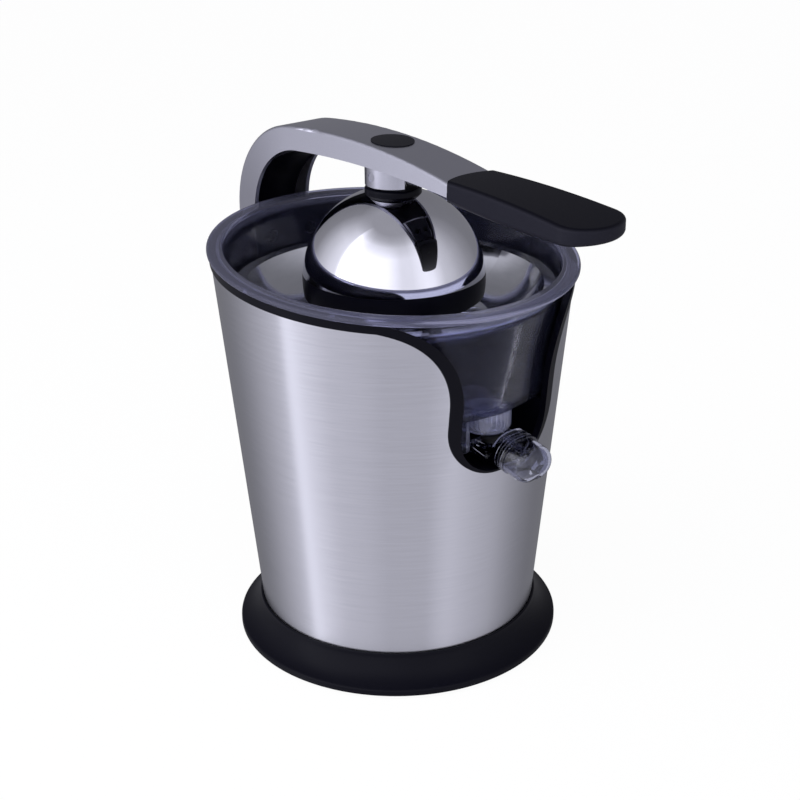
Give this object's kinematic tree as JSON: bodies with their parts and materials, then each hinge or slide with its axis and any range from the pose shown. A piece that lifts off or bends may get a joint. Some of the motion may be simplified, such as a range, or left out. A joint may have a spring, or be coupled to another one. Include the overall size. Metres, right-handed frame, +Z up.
{
  "type": "citrus juicer",
  "caption": "Electric lever-arm citrus juicer with a brushed steel body, clear bowl, drip-stop spout and chrome press dome.",
  "frame": {"origin": "on the body's axis, in the plane that the rubber feet stand on", "axes": "+Z up, -Y towards the spout and the grip, +X to the right of someone who faces +Y"},
  "size_m": [0.2, 0.276, 0.284],
  "materials": {
    "brushed_steel": "horizontally brushed stainless sheet",
    "polished_steel": "mirror-polished stainless",
    "silver_paint": "satin silver-grey paint",
    "black_plastic": "satin moulded black plastic",
    "soft_grip": "fine matt soft-touch",
    "clear_plastic": "clear polished plastic",
    "rubber": "moulded black rubber",
    "plain_steel": "plated steel",
    "bronze": "sintered bronze",
    "gear_plastic": "moulded white acetal",
    "motor_iron": "varnished laminated iron",
    "copper_winding": "enamelled copper wire",
    "cast_frame": "die cast",
    "reamer_plastic": "satin black plastic"
  },
  "bodies": {
    "base": {"body_shell": "brushed_steel", "strainer": "polished_steel", "base_foot": "black_plastic", "body_trim": "black_plastic", "inner_sleeve": "black_plastic", "spout_bay": "black_plastic", "splash_deck": "black_plastic", "hinge_bracket": "black_plastic", "start_switch": "black_plastic", "base_plate": "black_plastic", "juice_bowl": "clear_plastic", "rubber_feet": "rubber", "shaft_seal": "rubber", "cord_gland": "rubber", "base_screws": "plain_steel", "deck_screws": "plain_steel", "hinge_screws": "plain_steel", "spout_pin": "plain_steel", "motor_bolts": "plain_steel", "idler_pin": "plain_steel", "gearbox_screws": "plain_steel", "tower_bush": "bronze", "hinge_bushes": "bronze", "motor_bushes": "bronze", "output_bush": "bronze", "motor_stator": "motor_iron", "motor_coils": "copper_winding", "motor_frame": "cast_frame", "motor_bridge": "cast_frame", "gearbox_cover": "cast_frame"},
    "motor": {"motor_rotor": "motor_iron", "motor_pinion": "gear_plastic"},
    "idler": {"idler_gear": "gear_plastic"},
    "output": {"output_gear": "gear_plastic", "hub_clip": "plain_steel", "return_spring": "plain_steel"},
    "cone": {"drive_shaft": "plain_steel", "shaft_collar": "gear_plastic", "juicing_cone": "reamer_plastic"},
    "plunger": {"switch_plunger": "black_plastic"},
    "spout": {"drip_spout": "clear_plastic", "spout_plug": "rubber"},
    "arm": {"arm_shell": "silver_paint", "arm_liner": "black_plastic", "hinge_pin": "plain_steel", "press_stem": "silver_paint", "stem_screw": "plain_steel", "stem_cap": "black_plastic", "press_pin": "plain_steel", "grip_cover": "soft_grip", "grip_base": "black_plastic", "grip_screws": "plain_steel"},
    "press": {"press_dome": "polished_steel", "press_cup": "black_plastic", "press_bolt": "plain_steel", "press_nut": "plain_steel", "press_collar": "black_plastic"}
  },
  "joints": [
    {"name": "arm_hinge", "type": "hinge", "parent": "base", "child": "arm", "pos_m": [0, 0.112, 0.206], "axis": [-1, 0, 0], "range_deg": [0, 85]},
    {"name": "press_tilt", "type": "hinge", "parent": "arm", "child": "press", "pos_m": [0, 0, 0.266], "axis": [1, 0, 0], "range_deg": [-3, 3]},
    {"name": "motor_turn", "type": "hinge", "parent": "base", "child": "motor", "pos_m": [0, 0, 0.04], "axis": [0, 0, 1], "continuous": true},
    {"name": "idler_turn", "type": "hinge", "parent": "base", "child": "idler", "pos_m": [0.04, 0, 0.08], "axis": [0, 0, 1], "continuous": true},
    {"name": "cone_turn", "type": "hinge", "parent": "base", "child": "output", "pos_m": [0, 0, 0.09], "axis": [0, 0, 1], "continuous": true},
    {"name": "cone_press", "type": "slide", "parent": "output", "child": "cone", "axis": [0, 0, 1], "range_m": [-0.0025, 0], "stiffness_N_per_m": 900, "springref_m": 0.008, "deforming": ["return_spring"]},
    {"name": "switch_press", "type": "slide", "parent": "base", "child": "plunger", "axis": [0, 0, 1], "range_m": [-0.0025, 0]},
    {"name": "spout_tilt", "type": "hinge", "parent": "base", "child": "spout", "pos_m": [0, -0.07, 0.136], "axis": [-1, 0, 0], "range_deg": [0, 10]}
  ],
  "couplings": [
    {"joint": "idler_turn", "follows": "motor_turn", "ratio": -0.33333},
    {"joint": "cone_turn", "follows": "motor_turn", "ratio": 0.11111},
    {"joint": "switch_press", "follows": "cone_press", "ratio": 1}
  ]
}
